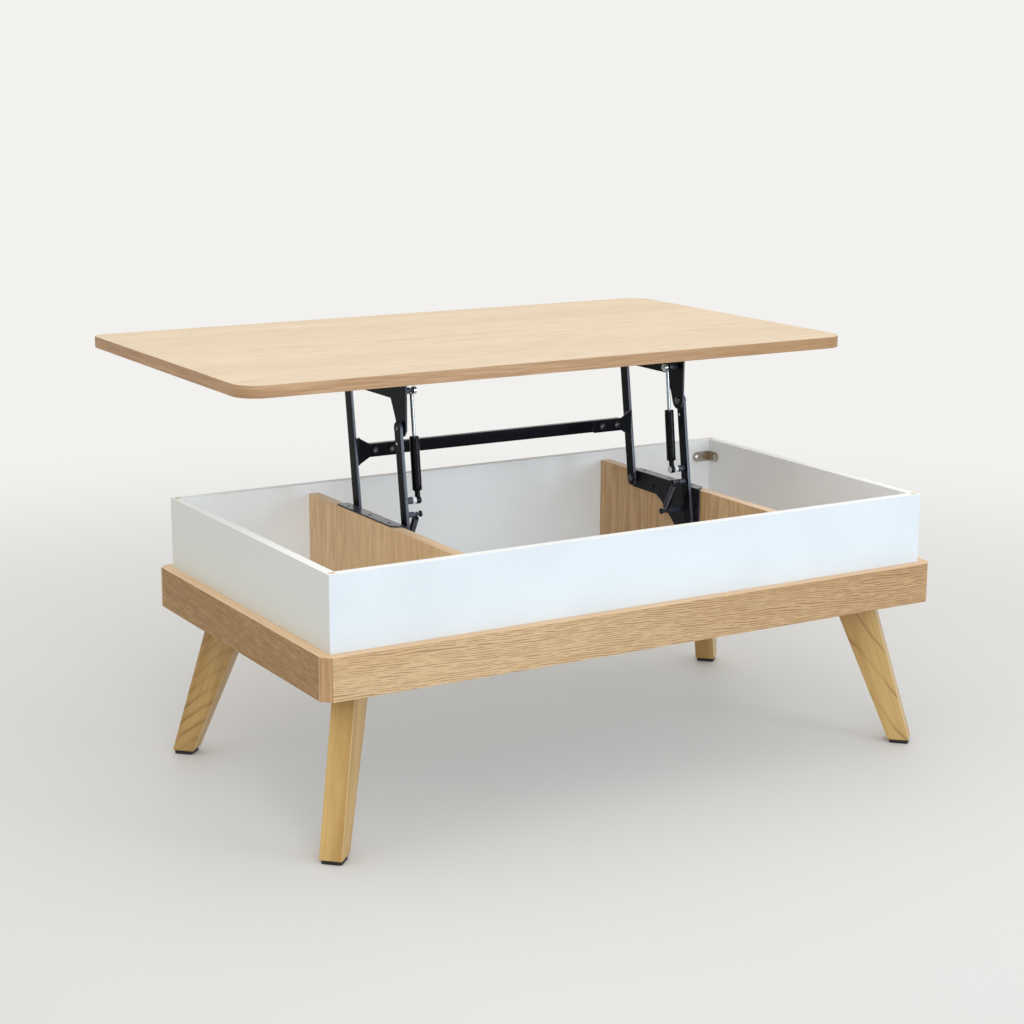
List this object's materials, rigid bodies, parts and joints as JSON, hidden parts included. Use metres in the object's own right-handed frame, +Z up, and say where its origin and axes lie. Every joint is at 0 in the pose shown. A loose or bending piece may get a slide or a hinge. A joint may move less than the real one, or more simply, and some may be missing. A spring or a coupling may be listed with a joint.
{
  "type": "lift-top coffee table",
  "caption": "Low rectangular table with splayed legs and an open storage box under a top that lifts and slides towards the sitter on paired arms with gas springs.",
  "frame": {"origin": "on the floor, under the middle of the box that encloses the raised table", "axes": "+X along the long side, +Y towards the sitter (the way the top travels as it rises), +Z up"},
  "size_m": [1.11, 0.865, 0.651],
  "materials": {
    "top_laminate": "pale oak laminate on board, satin, fine grain along X, brown edge band",
    "oak_laminate": "oak laminate on board, satin, grain along each board",
    "white_melamine": "white melamine-faced board, satin",
    "leg_wood": "solid light wood, clear lacquer",
    "black_steel": "black powder coat, semi-gloss",
    "chrome": "polished",
    "nickel": "dull nickel plate",
    "black_plastic": "matt black"
  },
  "bodies": {
    "table_base": {"back_panel": "white_melamine", "back_rail": "oak_laminate", "base_pin_front_left": "black_steel", "base_pin_front_right": "black_steel", "base_pin_rear_left": "black_steel", "base_pin_rear_right": "black_steel", "base_plate_left": "black_steel", "base_plate_right": "black_steel", "corner_bracket_back_left": "nickel", "corner_bracket_back_right": "nickel", "corner_bracket_front_left": "nickel", "corner_bracket_front_right": "nickel", "floor_panel": "white_melamine", "foot_glide_back_left": "black_plastic", "foot_glide_back_right": "black_plastic", "foot_glide_front_left": "black_plastic", "foot_glide_front_right": "black_plastic", "front_panel": "white_melamine", "front_rail": "oak_laminate", "left_divider": "oak_laminate", "left_panel": "white_melamine", "left_rail": "oak_laminate", "leg_back_left": "leg_wood", "leg_back_right": "leg_wood", "leg_front_left": "leg_wood", "leg_front_right": "leg_wood", "leg_plate_back_left": "black_steel", "leg_plate_back_right": "black_steel", "leg_plate_front_left": "black_steel", "leg_plate_front_right": "black_steel", "right_divider": "oak_laminate", "right_panel": "white_melamine", "right_rail": "oak_laminate"},
    "rear_arms": {"cross_bar": "black_steel", "cross_bar_bolt_inner_left": "black_steel", "cross_bar_bolt_inner_right": "black_steel", "cross_bar_bolt_outer_left": "black_steel", "cross_bar_bolt_outer_right": "black_steel", "cross_bar_bracket_left": "black_steel", "cross_bar_bracket_right": "black_steel", "rear_arm_left": "black_steel", "rear_arm_right": "black_steel"},
    "front_arms": {"front_arm_left": "black_steel", "front_arm_right": "black_steel"},
    "lift_top": {"top_bracket_left": "black_steel", "top_bracket_right": "black_steel", "top_panel": "top_laminate", "top_pin_front_left": "black_steel", "top_pin_front_right": "black_steel", "top_pin_rear_left": "black_steel", "top_pin_rear_right": "black_steel"},
    "gas_tubes": {"gas_tube_left": "black_steel", "gas_tube_right": "black_steel"},
    "gas_rods": {"gas_rod_left": "chrome", "gas_rod_right": "chrome"},
    "springs_lower": {"assist_spring_lower_left": "black_steel", "assist_spring_lower_right": "black_steel"},
    "springs_upper": {"assist_spring_upper_left": "black_steel", "assist_spring_upper_right": "black_steel"}
  },
  "joints": [
    {"name": "lift", "type": "hinge", "parent": "table_base", "child": "rear_arms", "pos_m": [0, 0.025, 0.3975], "axis": [1, 0, 0], "range_deg": [0, 96.53]},
    {"name": "front_arm_swing", "type": "hinge", "parent": "table_base", "child": "front_arms", "pos_m": [0, -0.14735, 0.33743], "axis": [1, 0, 0], "range_deg": [0, 96.54]},
    {"name": "top_level", "type": "hinge", "parent": "rear_arms", "child": "lift_top", "pos_m": [0, 0.05655, 0.61377], "axis": [1, 0, 0], "range_deg": [-96.54, 0]},
    {"name": "gas_tube_swing", "type": "hinge", "parent": "front_arms", "child": "gas_tubes", "pos_m": [0, -0.1295, 0.4415], "axis": [1, 0, 0], "range_deg": [-27.99, 0]},
    {"name": "gas_rod_slide", "type": "slide", "parent": "gas_tubes", "child": "gas_rods", "axis": [0, 0.115, 0.9934], "range_m": [-0.0482, 0]},
    {"name": "spring_swing", "type": "hinge", "parent": "table_base", "child": "springs_lower", "pos_m": [0, -0.1045, 0.3655], "axis": [1, 0, 0], "range_deg": [0, 72.28]},
    {"name": "spring_stretch", "type": "slide", "parent": "springs_lower", "child": "springs_upper", "axis": [0, -0.4832, 0.8755], "range_m": [0, 0.0665]}
  ],
  "couplings": [
    {"joint": "front_arm_swing", "follows": "lift", "ratio": 1},
    {"joint": "top_level", "follows": "lift", "ratio": -1},
    {"joint": "gas_tube_swing", "follows": "lift", "ratio": -0.28992},
    {"joint": "gas_rod_slide", "follows": "lift", "m_per_rad": -0.028558},
    {"joint": "spring_swing", "follows": "lift", "ratio": 0.7488},
    {"joint": "spring_stretch", "follows": "lift", "m_per_rad": 0.039441}
  ]
}
